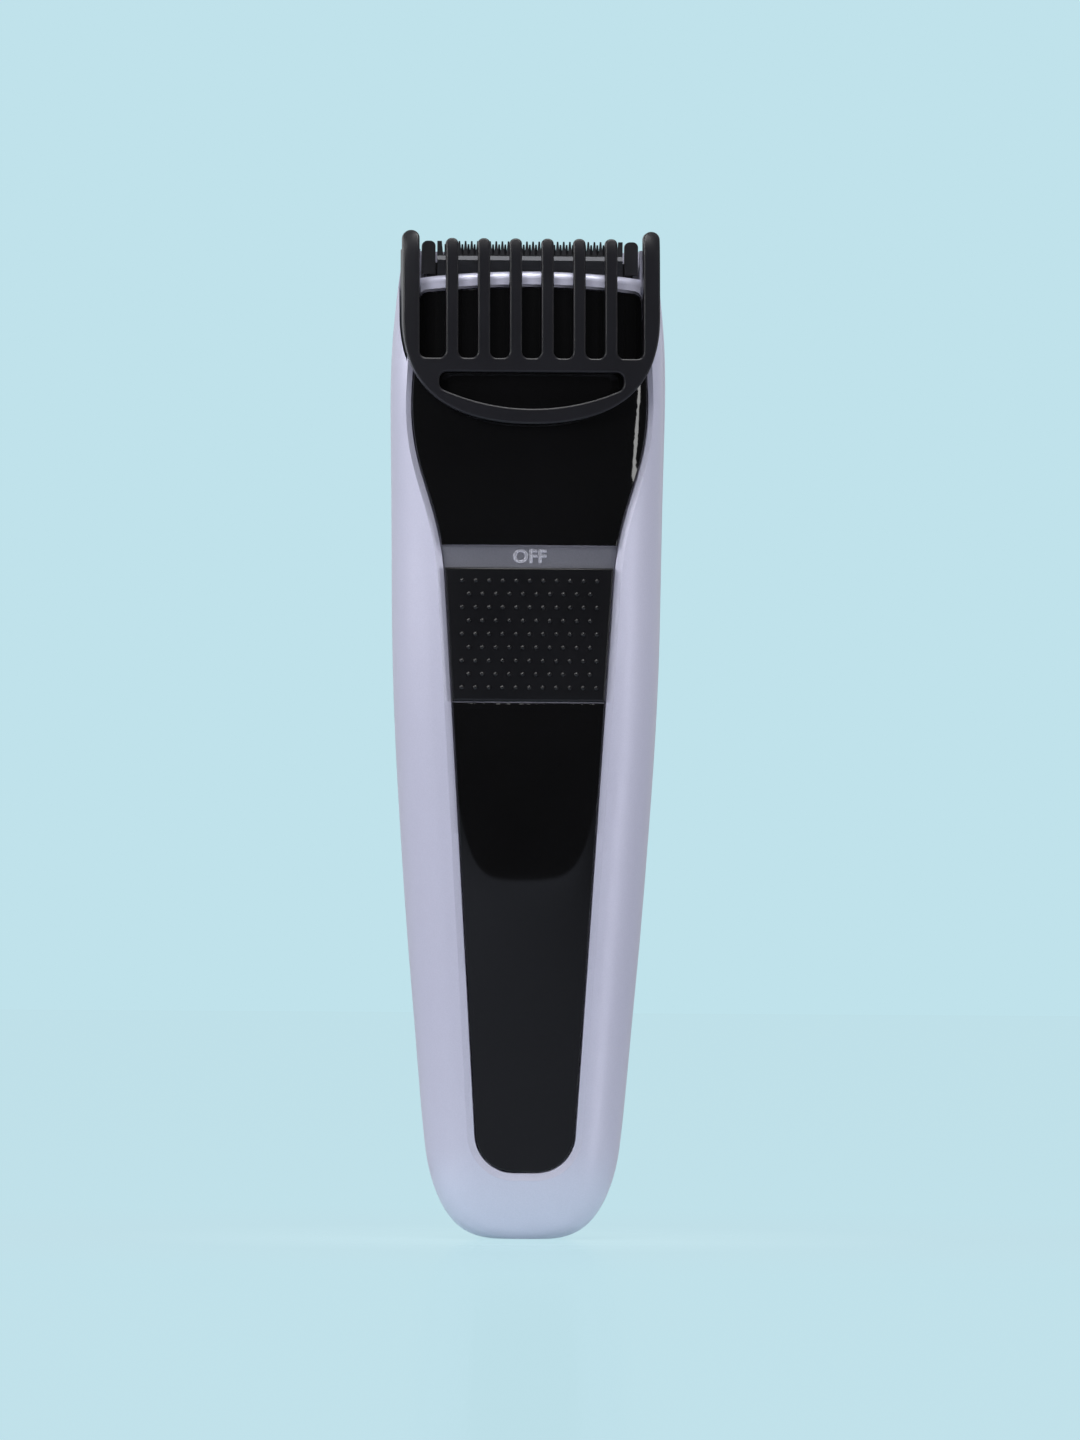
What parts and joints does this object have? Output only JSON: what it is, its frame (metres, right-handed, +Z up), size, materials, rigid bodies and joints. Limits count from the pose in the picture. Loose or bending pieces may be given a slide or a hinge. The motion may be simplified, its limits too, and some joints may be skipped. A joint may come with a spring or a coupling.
{
  "type": "cordless hair clipper",
  "caption": "Cordless hair and beard clipper with a tapered silver casing, black inlaid front, thumb slide switch, oscillating blade and a sliding guide comb.",
  "frame": {"origin": "centre of the flat foot that the clipper stands on", "axes": "+Z up the clipper from the foot to the blades, -Y out of the front with the switch, +X to the right seen from the front"},
  "size_m": [0.0449, 0.0327, 0.164],
  "materials": {
    "silver_casing": "satin silver paint on moulded plastic",
    "black_gloss": "polished black plastic",
    "silver_strip": "satin silver paint",
    "black_pad": "fine matte black",
    "black_comb": "fine matte black",
    "black_head": "matte black",
    "blade_steel": "ground steel",
    "fastener_steel": "zinc plated",
    "spring_steel": "bright drawn",
    "white_nylon": "natural nylon",
    "grey_nylon": "dark grey nylon",
    "felt": "pressed felt",
    "motor_steel": "plated drawn steel",
    "bush_bronze": "sintered bronze",
    "ferrite": "dull black ferrite",
    "lamination": "stacked steel sheet",
    "copper": "turned copper",
    "brass_tag": "stamped brass",
    "cell_wrap": "printed shrink sleeve",
    "nickel": "nickel plate",
    "board_green": "solder mask",
    "chip_black": "moulded black",
    "switch_case": "folded tin plate",
    "lead_red": "soft insulation",
    "lead_black": "soft insulation"
  },
  "bodies": {
    "casing": {"front_shell": "silver_casing", "rear_shell": "silver_casing", "upper_panel": "black_gloss", "lower_panel": "black_gloss", "switch_bed": "silver_strip", "blade_holder": "black_head", "foot_bezel": "black_head", "fixed_blade": "blade_steel", "casing_screws": "fastener_steel", "blade_screws": "fastener_steel", "board_screws": "fastener_steel", "motor_screws": "fastener_steel", "blade_spring": "spring_steel", "drive_plate": "grey_nylon", "motor_end_cap": "grey_nylon", "shaft_felt": "felt", "motor_can": "motor_steel", "motor_bushes": "bush_bronze", "motor_magnets": "ferrite", "motor_terminals": "brass_tag", "battery_cell": "cell_wrap", "battery_tabs": "nickel", "charging_socket": "nickel", "main_board": "board_green", "charge_board": "board_green", "board_chips": "chip_black", "socket_tongue": "chip_black", "slide_switch": "switch_case", "battery_lead_red": "lead_red", "motor_lead_red": "lead_red", "charge_lead_red": "lead_red", "battery_lead_black": "lead_black", "motor_lead_black": "lead_black", "charge_lead_black": "lead_black"},
    "comb": {"guide_comb": "black_comb"},
    "switch": {"power_switch": "black_pad", "switch_clip": "grey_nylon", "slide_switch_knob": "chip_black"},
    "cutter": {"moving_blade": "blade_steel", "cutter_yoke": "white_nylon", "yoke_rivets": "fastener_steel"},
    "rotor": {"armature": "lamination", "commutator": "copper", "motor_shaft": "spring_steel", "eccentric": "white_nylon"}
  },
  "joints": [
    {"name": "comb_slide", "type": "slide", "parent": "casing", "child": "comb", "axis": [0, 0, 1], "range_m": [0, 0.009]},
    {"name": "switch_slide", "type": "slide", "parent": "casing", "child": "switch", "axis": [0, 0, 1], "range_m": [0, 0.0035]},
    {"name": "cutter_slide", "type": "slide", "parent": "casing", "child": "cutter", "axis": [1, 0, 0], "range_m": [-0.0009, 0.0009]},
    {"name": "motor_spin", "type": "hinge", "parent": "casing", "child": "rotor", "pos_m": [0, 0.0027, 0.142], "axis": [0, 0, 1], "continuous": true}
  ]
}
